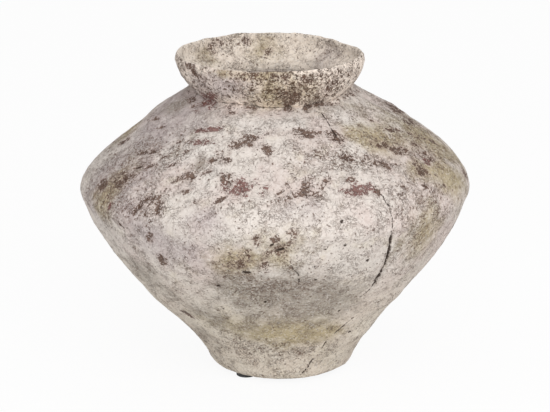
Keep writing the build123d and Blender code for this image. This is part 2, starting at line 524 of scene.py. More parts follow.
def row_direction(vertex, node, seams):
    """The way out of the wall at one vertex of a section, the same from both sides of a seam."""
    walls = [edge for edge in vertex.link_edges if edge not in seams]
    direction = sum((TREES[node].find_nearest(middle(edge))[1] for edge in walls), Vector())
    if len(walls) < len(vertex.link_edges):
        beyond = vertex.co + (vertex.co - walls[0].other_vert(vertex).co).normalized() * MM
        hits = [tree.find_nearest(beyond) for tree in neighbours(node)]
        direction += min(hits, key=lambda hit: hit[3])[1]
    direction.y = 0
    return direction.normalized()


def dressed_section(node, step, inner_step):
    """The node's section with fine rows up its walls, each with its way out and its side."""
    section = half_section(node)
    seams = straighten_seams(section, node) if node in CLAY_NODES else []
    for edge in [e for e in section.edges if e not in seams]:
        faces_out = TREES[node].find_nearest(middle(edge))[1].x > LEVEL
        cuts = int(edge.calc_length() / (step if faces_out else inner_step))
        if cuts:
            bmesh.ops.subdivide_edges(section, edges=[edge], cuts=cuts)
    way_out = section.verts.layers.float_vector.new("way_out")
    outside = section.verts.layers.float.new("outside")
    for vertex in section.verts:
        vertex[way_out] = row_direction(vertex, node, seams)
        vertex[outside] = float(vertex[way_out].x > LEVEL)
    return section


def spun_mesh(section, name, wedges):
    """Turns a section round the Z axis into one fine wedge, and copies the wedge round into a closed mesh."""
    wedge = math.tau / wedges
    for angle, steps, copied in ((wedge, WEDGE_STEPS, False), (math.tau - wedge, wedges - 1, True)):
        bmesh.ops.spin(
            section,
            geom=[*section.verts, *section.edges, *section.faces],
            cent=(0, 0, 0),
            axis=(0, 0, 1),
            angle=angle,
            steps=steps,
            use_duplicate=copied,
        )
    bmesh.ops.remove_doubles(section, verts=section.verts, dist=WELD)
    bmesh.ops.recalc_face_normals(section, faces=section.faces)
    for face in section.faces:
        face.smooth = True
    mesh = bpy.data.meshes.new(name)
    section.to_mesh(mesh)
    section.free()
    return mesh


# Random shapes that repeat exactly

LATTICE_STEPS = (374761393, 668265263, 1440662683, 1274126177)
SCRAMBLES = ((13, 1103515245), (16, 1597334677))  # shifts and factors
LAST_SHIFT = 15
WORD = 0xFFFFFFFF
HALF_WORD = 0xFFFF


def lattice(x, y, z, seed):
    """A fixed random number from 0 to 1 for each whole-numbered point."""
    mixed = sum(value * step for value, step in zip((x, y, z, seed), LATTICE_STEPS)) & WORD
    for shift, factor in SCRAMBLES:
        mixed = ((mixed ^ (mixed >> shift)) * factor) & WORD
    return ((mixed ^ (mixed >> LAST_SHIFT)) & HALF_WORD) / HALF_WORD


def smooth(share):
    """A share from 0 to 1, eased at both ends."""
    return share * share * (3 - 2 * share)


def step_up(values, low, high):
    """0 below low, 1 above high, and smooth between."""
    return smooth(np.clip((values - low) / (high - low), 0, 1))


def random_heights(points, lump, seed):
    """Smooth random heights from about -1 to 1, with lumps of a size and finer ones on them."""
    total = np.zeros(len(points))
    for octave in range(lump.octaves):
        scaled = points * (2**octave / lump.size)
        cell = np.floor(scaled).astype(np.int64)
        share = smooth(scaled - cell)
        value = np.zeros(len(points))
        for corner in np.ndindex(2, 2, 2):
            near = np.prod(np.where(corner, share, 1 - share), axis=1)
            value += near * lattice(*(cell + corner).T, seed + lump.seed_step + octave)
        total += (2 * value - 1) / 2**octave
    return total


def wrapped(turn):
    """A turn brought between half a turn back and half a turn on."""
    return (turn + math.pi) % math.tau - math.pi


def turned(way_out, bearing):
    """A section's ways out, turned to the bearings of their points."""
    across, _, up = way_out.T
    return np.stack([across * np.cos(bearing), across * np.sin(bearing), up], axis=1)


# The wall, unrolled


class Wall:
    """The jar's wall, unrolled into bearings round it and lengths up it, with its marks in their places."""

    def __init__(self, build):
        self.build = build
        self.camera = PhotoCamera()
        rows = []
        for node in CLAY_NODES:
            section = dressed_section(node, build.row_step, build.inner_step)
            side = section.verts.layers.float["outside"]
            rows += [(v.co.z, v.co.x) for v in section.verts if v[side] and v.co.x > BASE_EDGE]
            section.free()
        self.heights, radii = np.array(sorted(rows)).T
        steps = np.hypot(np.diff(self.heights), np.diff(radii))
        self.lengths = np.concatenate([[0], np.cumsum(steps)])
        self.marks = [self.photo_mark(finish, patch) for finish in PATCHES for patch in PATCHES[finish]]
        self.marks += self.back_marks()
        self.swells = [(self.place(swell.pixel, swell.name), swell) for swell in SWELLS]
        self.cracks = [([self.place(pixel, crack.name) for pixel in crack.pixels], crack) for crack in CRACKS]
        self.pits = [self.place(pixel, "pit") for pixel in PIT_PIXELS]
        self.pits += self.back_places(build.back_pits, build.seed + BACK_PITS_STEP)[1]

    def lumps(self, points, lump):
        """The heights of one of the jar's random shapes."""
        return random_heights(points, lump, self.build.seed)

    def sideways(self, height):
        """How far the jar's axis strays towards +X at a height."""
        heights, shifts = np.array(STRAYS).T * MM
        nearby = [np.interp(height + step, heights, shifts) for step in STRAY_BLEND]
        return self.build.stray_share * np.mean(nearby, axis=0)

    def place(self, pixel, name):
        """The place that shows at a pixel, with the camera moved back by what the jar's axis strays."""
        direction = self.camera.ray(pixel)
        height = BELLY_HEIGHT
        for _ in range(PLACE_TRIES):
            origin = self.camera.place - Vector((self.sideways(height), 0, 0))
            hits = [TREES[node].ray_cast(origin, direction) for node in CLAY_NODES]
            hits = [hit for hit in hits if hit[0]]
            if not hits:
                raise ValueError(f"{name} at pixel {pixel} misses the jar")
            point, normal = min(hits, key=lambda hit: hit[3])[:2]
            height = point.z
        outward = Vector((point.x, point.y, 0))
        return Place(math.atan2(point.y, point.x), self.climb(point.z), normal.dot(outward) > 0)

    def climb(self, height):
        """Length up the outside of the wall at a height."""
        return np.interp(height, self.heights, self.lengths)

    def photo_mark(self, finish, patch):
        """A patch of the photograph in its place on the wall."""
        half_sizes = tuple(size * MM / 2 for size in patch.size_mm)
        place = self.place(patch.pixel, patch.name)
        return Mark(finish, place, half_sizes, math.radians(patch.turn), patch.strength)

    def back_places(self, count, seed):
        """Random places on the side that the photograph doesn't show, and the random numbers that follow."""
        random = np.random.default_rng(seed)
        bearings = math.pi / 2 + random.uniform(-BACK_HALF, BACK_HALF, count)
        lengths = random.uniform(*BACK_SPAN, count) * self.lengths[-1]
        return random, [Place(bearing, length) for bearing, length in zip(bearings, lengths)]

    def back_marks(self):
        """Random patches like those of the photograph, for the side that it doesn't show."""
        random, places = self.back_places(self.build.back_patches, self.build.seed)
        marks = []
        for place in places:
            finish = BACK_FINISHES[random.integers(len(BACK_FINISHES))]
            across = random.uniform(*BACK_SIZES_MM[finish]) * MM / 2
            up = across * random.uniform(*BACK_FLATNESS)
            marks.append(Mark(finish, place, (across, up), random.uniform(-BACK_TURN, BACK_TURN)))
        return marks

    def offsets(self, points, place):
        """How far points lie round the wall and up it from a place."""
        turn = wrapped(np.arctan2(points[:, 1], points[:, 0]) - place.bearing)
        return turn * np.hypot(points[:, 0], points[:, 1]), self.climb(points[:, 2]) - place.length

    def finish_fields(self, points, outside):
        """For each finish, 1 at the middle of a patch, 0 at its ragged edge and less beyond."""
        fields = {finish: np.full(len(points), FAR) for finish in EDGES}
        for finish, place, (across, up), turn, strength in self.marks:
            s, t = self.offsets(points, place)
            along = (s * math.cos(turn) + t * math.sin(turn)) / across
            over = (t * math.cos(turn) - s * math.sin(turn)) / up
            field = np.where(outside == place.outside, strength - np.hypot(along, over), FAR)
            np.maximum(fields[finish], field, out=fields[finish])
        # Painted shade along the neck seam, laid as bare clay
        dirt = NECK_SHADE_STRENGTH - np.abs(points[:, 2] - NECK_HEIGHT) / NECK_SHADE_WIDTH
        np.maximum(fields["flake"], np.where(outside > 0, dirt, FAR), out=fields["flake"])
        for finish, (lump, share) in EDGES.items():
            fields[finish] += share * self.lumps(points, lump)
        return fields

    def crack_field(self, points, places, width):
        """1 along the middle of a crack, 0 at its edge and less beyond."""
        stray = self.lumps(points, CRACK_PATH) * CRACK_STRAY
        half = width * MM / 2 * (CRACK_FILL + CRACK_SPREAD * self.lumps(points, CRACK_WIDTH))
        field = np.full(len(points), FAR)
        for start, end in zip(places, places[1:]):
            s, t = self.offsets(points, start)
            end_s = wrapped(end.bearing - start.bearing) * np.hypot(points[:, 0], points[:, 1])
            end_t = end.length - start.length
            share = np.clip((s * end_s + t * end_t) / (end_s**2 + end_t**2), 0, 1)
            gap = np.hypot(s - share * end_s + stray, t - share * end_t + stray)
            np.maximum(field, 1 - gap / np.maximum(half, CRACK_LEAST), out=field)
        return field

    def relief(self, points, outside, fields):
        """Height of dents, flakes, cracks and pits over the plain wall, and how open its cavities are."""
        height = np.zeros(len(points))
        cavity = np.full(len(points), FAR)
        for place, swell in self.swells:
            distance = np.hypot(*self.offsets(points, place)) / (swell.reach_mm * MM)
            height += swell.height_mm * MM * np.exp(-(distance**2))
        for places, crack in self.cracks:
            field = self.crack_field(points, places, crack.width_mm)
            height -= crack.depth_mm * MM * np.clip(field, 0, 1)
            np.maximum(cavity, field, out=cavity)
        random = np.random.default_rng(self.build.seed + PIT_SIZES_STEP)
        for place in self.pits:
            radius = PIT_RADIUS * (1 + random.uniform(-PIT_SPREAD, PIT_SPREAD))
            field = 1 - np.hypot(*self.offsets(points, place)) / radius
            height -= PIT_DEPTH * np.clip(field, 0, 1)
            np.maximum(cavity, field, out=cavity)
        worn = step_up(np.maximum(fields["flake"], fields["rust"]), *WORN_EDGE)
        return height * outside - FLAKE_DEPTH * worn, np.where(outside > 0, cavity, FAR)

    def weathered(self, points, way_out, outside):
        """Wall points moved by the potter's hand, weather and the lean, and the fields of their finishes."""
        build = self.build
        fields = self.finish_fields(points, outside)
        relief, fields["cavity"] = self.relief(points, outside, fields)
        side = np.clip(way_out[:, 0] * LEVEL_FADE, -1, 1)
        hand = build.wobble * self.lumps(points, BROAD_LUMP) + build.hand * self.lumps(points, HAND_LUMP)
        grain = build.grain * self.lumps(points, GRAIN_LUMP)
        near_lip = step_up(points[:, 2], RIM_HEIGHT - LIP_REACH, RIM_HEIGHT)
        crumbs = build.lip_crumble * near_lip * self.lumps(points, LIP_LUMP)
        height = hand * side + grain + relief + crumbs
        bearing = np.arctan2(points[:, 1], points[:, 0])
        moved = points + turned(way_out, bearing) * height[:, None]
        near_neck = np.exp(-(((points[:, 2] - NECK_HEIGHT) / NECK_REACH) ** 2))
        ring = points * (1, 1, 0)
        rise = build.ragged_seam * self.lumps(ring, SEAM_LUMP)
        rise -= build.neck_sag * step_up(-np.sin(bearing), 0, NECK_FRONT)
        moved[:, 2] += rise * near_neck
        above_neck = step_up(points[:, 2] - NECK_HEIGHT, *NECK_WASH)
        return self.leaned(moved), {**fields, "outside": outside, "above_neck": above_neck}

    def leaned(self, points):
        """Points pressed in at the mouth's dents and shifted sideways with the jar's axis."""
        bearing = np.arctan2(points[:, 1], points[:, 0])
        inward = np.zeros(len(points))
        for dent in RIM_DENTS:
            turn = wrapped(bearing - math.radians(dent.bearing)) / math.radians(dent.half_width)
            inward += dent.depth_mm * MM * np.exp(-(turn**2))
        inward *= step_up(points[:, 2], NECK_HEIGHT, RIM_HEIGHT)
        moved = points.copy()
        moved[:, 0] += self.sideways(points[:, 2]) - inward * np.cos(bearing)
        moved[:, 1] -= inward * np.sin(bearing)
        return moved


def read_field(mesh, name, width):
    """One attribute of a mesh as an array."""
    values = np.zeros(len(mesh.vertices) * width)
    mesh.attributes[name].data.foreach_get("vector" if width == 3 else "value", values)
    return values.reshape(-1, width) if width > 1 else values


def write_field(mesh, name, values):
    """Writes an array as an attribute of a mesh."""
    attribute = mesh.attributes.get(name) or mesh.attributes.new(name, "FLOAT", "POINT")
    attribute.data.foreach_set("value", values.astype(np.float32))


def mesh_points(mesh):
    """The vertices of a mesh as an array."""
    points = np.zeros(len(mesh.vertices) * 3)
    mesh.vertices.foreach_get("co", points)
    return points.reshape(-1, 3)


def finish_piece(mesh, points, node, material):
    """Moves a mesh's vertices to their places and puts it in the scene in place of its node."""
    mesh.vertices.foreach_set("co", points.astype(np.float32).ravel())
    mesh.attributes.remove(mesh.attributes["way_out"])
    mesh.set_sharp_from_angle(angle=SHARP_CORNER)
    mesh.materials.append(material)
    piece = bpy.data.objects.new(mesh.name, mesh)
    bpy.context.collection.objects.link(piece)
    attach(piece, BODY)
    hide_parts(node)


def weathered_piece(node, wall, material):
    """A clay node rebuilt as a fine, weathered shell."""
    build = wall.build
    inner_step = build.row_step if node in COLLAR_PIECES else build.inner_step
    mesh = spun_mesh(dressed_section(node, build.row_step, inner_step), f"weathered_{node}", build.wedges)
    way_out = read_field(mesh, "way_out", 3)
    outside = read_field(mesh, "outside", 1)
    points, fields = wall.weathered(mesh_points(mesh), way_out, outside)
    for name, values in fields.items():
        write_field(mesh, name, values)
    finish_piece(mesh, points, node, material)


def pressed_coil(node, wall, material):
    """A seam coil with the dents of the fingers that pressed it."""
    build = wall.build
    section = dressed_section(node, build.coil_step, build.coil_step)
    mesh = spun_mesh(section, f"pressed_{node}", build.coil_wedges)
    points = mesh_points(mesh)
    way_out = read_field(mesh, "way_out", 3)
    bearing = np.arctan2(points[:, 1], points[:, 0])
    fingers = np.abs(np.sin(bearing * build.finger_presses / 2)) - 1
    height = build.finger_depth * fingers * np.clip(-way_out[:, 0], 0, 1)
    moved = points + turned(way_out, bearing) * height[:, None]
    finish_piece(mesh, wall.leaned(moved), node, material)


# Shader nodes as expressions


class Shade:
    """A shader socket. Sums and products of them add Math nodes."""

    def __init__(self, tree, socket=None):
        self.tree = tree
        self.socket = socket

    def node(self, kind, settings, inputs, output=0):
        """Adds a node with its settings and the values or links of its sockets, and gives one output."""
        node = self.tree.nodes.new(kind)
        for name, value in settings.items():
            setattr(node, name, value)
        for name, value in inputs.items():
            if isinstance(value, Shade):
                self.tree.links.new(value.socket, node.inputs[name])
            else:
                node.inputs[name].default_value = value
        return Shade(self.tree, node.outputs[output]) if node.outputs else None

    def math(self, operation, first, second):
        """A Math node of two values."""
        return self.node("ShaderNodeMath", {"operation": operation}, {0: first, 1: second})

    def __add__(self, other):
        return self.math("ADD", self, other)

    def __radd__(self, other):
        return self.math("ADD", other, self)

    def __sub__(self, other):
        return self.math("SUBTRACT", self, other)

    def __rsub__(self, other):
        return self.math("SUBTRACT", other, self)

    def __mul__(self, other):
        return self.math("MULTIPLY", self, other)

    def __rmul__(self, other):
        return self.math("MULTIPLY", other, self)

    def __or__(self, other):
        return self.math("MAXIMUM", self, other)

    def __and__(self, other):
        return self.math("MINIMUM", self, other)

    def __abs__(self):
        return self.math("ABSOLUTE", self, 0.0)

    def noise(self, kind):
        """A noise over these coordinates."""
        inputs = {
            "Vector": self,
            "W": kind.seed,
            "Scale": 1 / (kind.size_mm * MM),
            "Detail": kind.detail,
            "Roughness": kind.roughness,
            "Distortion": kind.distortion,
        }
        return self.node("ShaderNodeTexNoise", {"noise_dimensions": "4D"}, inputs)

    def line(self, sharpness):
        """1 along the lines where this noise crosses its middle, and less beside them."""
        return 1 - abs(self - MIDDLE) * sharpness

    def cover(self, kind):
        """How much a cover hides, with this as its field."""
        inputs = {"Value": self, "From Min": kind.start, "From Max": kind.full, "To Max": kind.most}
        return self.node("ShaderNodeMapRange", {"interpolation_type": "SMOOTHSTEP"}, inputs)

    def mix(self, first, second):
        """The first colour where this is 0 and the second where it is 1."""
        settings = {"data_type": "RGBA"}
        return self.node("ShaderNodeMix", settings, {0: self, 6: opaque(first), 7: opaque(second)}, 2)

    def field(self, name):
        """A piece's own field of a finish."""
        return self.node("ShaderNodeAttribute", {"attribute_name": name}, {}, 2)


class Noise(NamedTuple):
    """A noise of the finishes: the size of its lumps, its seed and its character."""

    size_mm: float
    seed: float
    detail: float = 3.0
    roughness: float = 0.55
    distortion: float = 0.0


class Cover(NamedTuple):
    """How a field becomes a cover: where it starts, where it is full and the most that it hides."""

    start: float
    full: float
    most: float = 1.0


class Stain(NamedTuple):
    """A finish spread over the wash: its colour, how far the mottle stirs its edge, and its cover."""

    finish: str
    colour: str
    stir: float
    cover: Cover


# Noises of the wash and the clay
MIDDLE = 0.5  # middle value of a noise
DRIFT = Noise(110, 1.0)
VEIL = Noise(55, 2.0)
CLOUD = Noise(30, 3.0, 4.0)
MOTTLE = Noise(13, 4.0, 4.0, 0.6)
CRUMB = Noise(5.0, 5.0, 3.0, 0.65)
GRIT = Noise(2.2, 6.0, 2.0, 0.6)
SPECK = Noise(2.6, 7.0, 3.0, 0.6)
CURL = Noise(5.0, 8.0, 2.0, 0.6, 1.2)
SCRATCH = Noise(6.5, 9.0, 2.0, 0.5, 1.0)
CLOT = Noise(4.2, 10.0, 3.0, 0.65, 0.8)
COIL_CRUMB = Noise(5.0, 1.0)
DUST = Noise(3.0, 1.0)
CRUMB_SHARE = 0.4  # share of the crumb in the grain, the rest being grit
VEIN_SHARPNESS = 9
SCRATCH_SHARPNESS = 22

# Covers of the wash's tints
PINK_TINT = Cover(0.42, 0.62)
GREY_TINT = Cover(0.5, 0.66, 0.5)
CREAM_TINT = Cover(0.54, 0.7, 0.5)
LOW_WALL = Cover(60 * MM, 190 * MM)  # heights over which the low wall's cream fades
LOW_CREAM = 0.6  # the most that the cream hides
NECK_TINT = 0.85  # how much the collar's and the mouth's own colours hide
STAINS = (
    Stain("fresh", "lime_bloom", 1.0, Cover(-0.4, 0.8, 0.8)),
    Stain("lilac_and_shade", "lilac_and_shade", 1.0, Cover(-0.6, 0.8, 0.7)),
    Stain("ochre", "ochre", 1.4, Cover(-0.5, 0.9, 0.7)),
    Stain("grime_and_shade", "grime_and_shade", 1.2, Cover(-0.6, 0.8, 0.7)),
)
WORN_RIM = Cover(-0.6, 0.6, 0.45)
# Painted shade in the hollows of the grain, deeper where the wash is worn
SHADED_HOLLOWS = Cover(0.37, 0.52)
HOLLOW_SHADE_BY_WEAR = Cover(-1.04, 2.96)
BLOOM = Cover(0.5, 0.64, 0.5)

# Covers of the marks on the wash, and how far wear and grain spread them
WEAR = Cover(-0.9, 0.8)
CLOUD_WEAR = 0.8
SPECKS = Cover(0.62, 0.66)
SPECK_WEAR = 0.05
CLOTS = Cover(0.56, 0.61)
CLOT_WEAR = 0.035
LIP_CLOTS = Cover(RIM_HEIGHT - 6 * MM, RIM_HEIGHT - 1 * MM, 0.7)
CURLS = Cover(0.6, 0.9)
CURLED_PLACES = Cover(0.46, 0.74)
CURL_WEAR = 0.16
SCRATCHES = Cover(0.2, 0.8)
SCRATCHED_PLACES = Cover(0.3, 0.6)
GRIT_TEAR = 2.4
CRUMB_TEAR = 1.9
VEIN_MIDDLE = 0.45
FIELD_TOP = 0.62  # keeps the middle of a patch as broken as its edge
FLAKES = Cover(0.2, 0.5)
FLAKE_VEINS = 0.55
RUST = Cover(0.15, 0.5)
RUST_VEINS = 0.6
CAVITIES = Cover(0.0, 0.45)
CAVITY_TEAR = 1.6
PALE_CLAY = Cover(0.42, 0.6)
PALE_COIL = Cover(0.35, 0.7)
DUST_COVER = Cover(0.55, 0.8, 0.35)
DUST_DULLNESS = 0.2


def opaque(colour):
    """A colour with its alpha, or a colour socket as it is."""
    return colour if isinstance(colour, Shade) else (*colour, 1.0)


def new_material(name):
    """An empty node material and its first expression."""
    material = bpy.data.materials.new(name)
    material.use_nodes = True
    material.node_tree.nodes.clear()
    return material, Shade(material.node_tree)


def object_places(shade):
    """A piece's own coordinates."""
    return shade.node("ShaderNodeTexCoord", {}, {}, 3)


def matt_surface(shade, colour, height, roughness, depth, specular):
    """A dull surface with a bumpy relief."""
    normal = shade.node("ShaderNodeBump", {}, {"Strength": 1.0, "Distance": depth, "Height": height})
    inputs = {"Base Color": colour, "Roughness": roughness, "Specular IOR Level": specular, "Normal": normal}
    surface = shade.node("ShaderNodeBsdfPrincipled", {}, inputs)
    shade.node("ShaderNodeOutputMaterial", {}, {"Surface": surface})


def lime_washed_clay(finish):
    """Coarse clay under worn lime wash, with flakes, rust, stains, dirt, cavities and painted shade and
    light.
    """
    material, shade = new_material("lime_washed_clay")
    place = object_places(shade)
    cloud = place.noise(CLOUD)
    mottle = place.noise(MOTTLE)
    crumb = place.noise(CRUMB)
    grit = place.noise(GRIT)
    grain = crumb * CRUMB_SHARE + grit * (1 - CRUMB_SHARE)
    height = shade.node("ShaderNodeSeparateXYZ", {}, {"Vector": place}, 2)
    outside = shade.field("outside")
    above_neck = shade.field("above_neck")
    collar = above_neck * outside
    mouth = above_neck * (1 - outside)
    inside = (1 - above_neck) * (1 - outside)
    wear = shade.field("speckle").cover(WEAR) + (cloud - MIDDLE) * CLOUD_WEAR

    # The wash, its tints and its stains
    coat = place.noise(VEIL).cover(PINK_TINT).mix(finish.lime, finish.lime_pink)
    coat = place.noise(DRIFT).cover(GREY_TINT).mix(coat, finish.lime_grey)
    coat = cloud.cover(CREAM_TINT).mix(coat, finish.lime_cream)
    coat = ((1 - height.cover(LOW_WALL)) * LOW_CREAM).mix(coat, finish.lime_cream)
    # The collar's and the mouth's colours are brighter than the wash: painted light against the shade of the
    # downward-facing collar and of the inside of the mouth
    coat = (collar * NECK_TINT).mix(coat, finish.collar)
    coat = (mouth * NECK_TINT).mix(coat, finish.mouth)
    for stain in STAINS:
        stirred = shade.field(stain.finish) + (mottle - MIDDLE) * stain.stir
        coat = stirred.cover(stain.cover).mix(coat, getattr(finish, stain.colour))
    bare = shade.field("flake") | shade.field("rust")
    coat = (bare + (mottle - MIDDLE)).cover(WORN_RIM).mix(coat, finish.lime_worn)
    # Painted shade in the hollows of the grain, where the bump lies lowest
    coat = ((1 - grain.cover(SHADED_HOLLOWS)) * wear.cover(HOLLOW_SHADE_BY_WEAR)).mix(coat, finish.lime_shadow)
    coat = grain.cover(BLOOM).mix(coat, finish.lime_bloom)

    # Marks on the wash and through it
    specks = (place.noise(SPECK) + wear * SPECK_WEAR).cover(SPECKS)
    clots = (place.noise(CLOT) + wear * CLOT_WEAR).cover(CLOTS) * (collar | height.cover(LIP_CLOTS))
    vein = place.noise(CURL).line(VEIN_SHARPNESS)
    curls = vein.cover(CURLS) * (mottle + wear * CURL_WEAR).cover(CURLED_PLACES)
    scratches = place.noise(SCRATCH).line(SCRATCH_SHARPNESS).cover(SCRATCHES) * mottle.cover(SCRATCHED_PLACES)
    torn = (grit - MIDDLE) * GRIT_TEAR + (crumb - MIDDLE) * CRUMB_TEAR
    flakes = ((shade.field("flake") & FIELD_TOP) + (vein - VEIN_MIDDLE) * FLAKE_VEINS + torn).cover(FLAKES)
    rust = ((shade.field("rust") & FIELD_TOP) + (vein - VEIN_MIDDLE) * RUST_VEINS + torn).cover(RUST)
    cavity = (shade.field("cavity") + (grit - MIDDLE) * CAVITY_TEAR).cover(CAVITIES)
    pale = grain.cover(PALE_CLAY)
    clay = pale.mix(finish.clay_dark, finish.clay)

    # Each mark, the most that it hides and its colour
    marks = (
        (scratches, 0.4, finish.clay),
        (specks, 0.8, finish.clay),
        (curls, 0.8, finish.clay),
        (clots, 0.85, finish.umber),
        (flakes, 0.9, clay),
        (rust, 0.85, pale.mix(finish.rust_dark, finish.rust)),
        # Cracks and pits: partly their own dark clay, partly painted shade inside them
        (cavity, 0.95, finish.cavity),
        (inside, 0.8, clay),
    )
    for mark, most, colour in marks:
        coat = (mark * most).mix(coat, colour)

    # Each layer and its share of the relief, less than nothing where it lies deeper
    layers = (
        (mottle, 0.8),
        (crumb, 1.0),
        (grit, 0.35),
        (flakes | rust | clots, -0.5),
        (curls, -0.5),
        (specks, -0.5),
        (scratches, -0.4),
        (cavity, -0.4),
    )
    relief = sum(layer * share for layer, share in layers)
    matt_surface(shade, coat, relief, roughness=0.92, depth=1.2 * MM, specular=0.25)
    return material


def bare_clay(finish):
    """The unwashed clay of the seam coils."""
    material, shade = new_material("bare_clay")
    crumb = object_places(shade).noise(COIL_CRUMB)
    colour = crumb.cover(PALE_COIL).mix(finish.clay_dark, finish.clay)
    matt_surface(shade, colour, crumb, roughness=0.95, depth=1.0 * MM, specular=0.2)
    return material


def pad_rubber(finish):
    """Dusty black rubber."""
    material, shade = new_material("pad_rubber")
    dust = object_places(shade).noise(DUST)
    colour = dust.cover(DUST_COVER).mix(finish.rubber, finish.lime_shadow)
    matt_surface(shade, colour, dust, roughness=0.7 + dust * DUST_DULLNESS, depth=0.2 * MM, specular=0.4)
    return material


def seen_directly(shade):
    """1 for rays from the camera, and for mirrored and passing rays of it."""
    rays = [shade.node("ShaderNodeLightPath", {}, {}, ray) for ray in CAMERA_RAYS]
    return rays[0] | rays[1] | rays[2]


def pale_floor(stage):
    """A white studio floor that keeps a faint shadow."""
    material, shade = new_material("pale_floor")
    white = opaque(stage.floor_colour)
    diffuse = shade.node("ShaderNodeBsdfDiffuse", {}, {"Color": white})
    glow = shade.node("ShaderNodeEmission", {}, {"Color": white, "Strength": 1 / stage.floor_colour[0]})
    share = seen_directly(shade) * stage.floor_glow
    surface = shade.node("ShaderNodeMixShader", {}, {0: share, 1: diffuse, 2: glow})
    shade.node("ShaderNodeOutputMaterial", {}, {"Surface": surface})
    return material


# Settings


def colour_setting(name, description, default):
    """A colour that a user may change."""
    kind = {"subtype": "COLOR", "min": 0, "max": 1}
    return FloatVectorProperty(name=name, description=description, default=default, **kind)


def length_setting(name, description, default):
    """A length that a user may change."""
    return FloatProperty(name=name, description=description, default=default, unit="LENGTH", precision=5)


class JarBuild(bpy.types.PropertyGroup):
    """How finely the jar is built, and how uneven it is."""

    row_step: length_setting("Row step", "Height of one row of faces up the wall", 1.6 * MM)
    inner_step: length_setting("Inner step", "Height of one row of faces inside the jar", 6 * MM)
    coil_step: length_setting("Coil step", "Length of one row of faces round a seam coil", 2.5 * MM)
    wedges: IntProperty(name="Wedges", description="Wedges round the jar", default=30, min=3)
    coil_wedges: IntProperty(name="Coil wedges", description="Wedges round a seam coil", default=15, min=3)
    stray_share: FloatProperty(name="Stray", description="Share of the axis's sideways stray", default=1.0)
    wobble: length_setting("Wobble", "Height of the broad lumps of the wall", 1.0 * MM)
    hand: length_setting("Hand", "Height of the lumps that hands left", 0.8 * MM)
    grain: length_setting("Grain", "Height of the clay's grain", 0.3 * MM)
    lip_crumble: length_setting("Lip crumble", "Height of the crumbled lumps of the lip", 0.7 * MM)
    ragged_seam: length_setting("Ragged seam", "Height that the neck seam strays by", 2.2 * MM)
    neck_sag: length_setting("Neck sag", "How far the neck seam sags at the front", 3.5 * MM)
    finger_presses: IntProperty(name="Finger presses", description="Finger dents round a coil", default=48)
    finger_depth: length_setting("Finger depth", "Depth of a finger dent", 1.6 * MM)
    back_patches: IntProperty(name="Back patches", description="Worn patches on the unseen side", default=90)
    back_pits: IntProperty(name="Back pits", description="Pits on the unseen side", default=40)
    seed: IntProperty(name="Seed", description="Start of the random shapes", default=11)


class JarFinish(bpy.types.PropertyGroup):
    """Colours of the jar's finishes."""

    lime: colour_setting("Lime", "Sound lime wash", srgb(220, 211, 203))
    lime_pink: colour_setting("Pink lime", "Lime wash that the clay tints", srgb(214, 200, 193))
    lime_grey: colour_setting("Grey lime", "Lime wash dulled by weather", srgb(204, 197, 189))
    lime_cream: colour_setting("Cream lime", "Lime wash with a warm tint", srgb(217, 207, 188))
    lime_bloom: colour_setting("Lime bloom", "Fresh bright lime", srgb(228, 221, 214))
    lime_worn: colour_setting("Worn lime", "Thin wash round bare patches", srgb(203, 184, 176))
    # Painted shade for the hollows of the wash's grain; the floor pads' dust takes the same colour
    lime_shadow: colour_setting("Lime shadow", "Dirt in the hollows of the wash", srgb(142, 118, 102))
    # Also painted shade on the left shoulder, by the neck and on the right inside the mouth
    lilac_and_shade: colour_setting("Lilac", "Cool grey weathered wash", srgb(176, 163, 164))
    ochre: colour_setting("Ochre", "Yellow-brown stain", srgb(165, 148, 102))
    # Grey dirt, also laid as painted shade by the neck, low inside the mouth and partly over the low wall's
    # hollow
    grime_and_shade: colour_setting("Grime", "Grey dirt", srgb(148, 139, 127))
    # Painted light: both are brighter than the wash to make up for the shade on the collar and inside the
    # mouth
    collar: colour_setting("Collar", "Thin wash on the collar", srgb(247, 232, 218))
    mouth: colour_setting("Mouth", "Thin wash inside the mouth", srgb(238, 225, 210))
    clay: colour_setting("Clay", "Bare clay", srgb(112, 87, 73))
    clay_dark: colour_setting("Dark clay", "Bare clay in deep flakes", srgb(74, 54, 44))
    umber: colour_setting("Umber", "Brown clots on the collar", srgb(84, 61, 44))
    rust: colour_setting("Rust", "Red iron-rich clay", srgb(128, 84, 77))
    rust_dark: colour_setting("Dark rust", "Deep red iron-rich clay", srgb(94, 59, 55))
    # Partly the dark clay of cracks and pits, partly painted shade inside them
    cavity: colour_setting("Cavity", "Inside of cracks and pits", srgb(62, 49, 41))
    rubber: colour_setting("Rubber", "Floor pads", srgb(34, 33, 32))


class JarStage(bpy.types.PropertyGroup):
    """The studio floor and lights."""

    floor_size: length_setting("Floor size", "Side of the floor", 24.0)
    floor_colour: colour_setting("Floor colour", "Plain pale floor", (0.92, 0.92, 0.92))
    floor_glow: FloatProperty(name="Floor glow", description="Share of white in the floor", default=0.92)
    ambient: FloatProperty(name="Ambient", description="Light from all round", default=0.7)
    key_power: FloatProperty(name="Key power", description="Large soft light above the camera", default=49.0)
    key_size: length_setting("Key size", "Side of the key light", 2.2)


# Operators


def shared_material(make, finish):
    """The material of a maker, made on first use."""
    return bpy.data.materials.get(make.__name__) or make(finish)


class ClayOperator:
    """Builds weathered pieces for a group of clay nodes."""

    bl_options = {"REGISTER", "UNDO"}
    nodes = ()

    def execute(self, context):
        wall = Wall(context.scene.jar_build)
        material = shared_material(lime_washed_clay, context.scene.jar_finish)
        for node in self.nodes:
            weathered_piece(node, wall, material)
        return {"FINISHED"}


class JAR_OT_base_disc(ClayOperator, bpy.types.Operator):
    """Builds the weathered base disc"""

    bl_idname = "jar.base_disc"
    bl_label = "Base Disc"
    nodes = ("base_disc",)


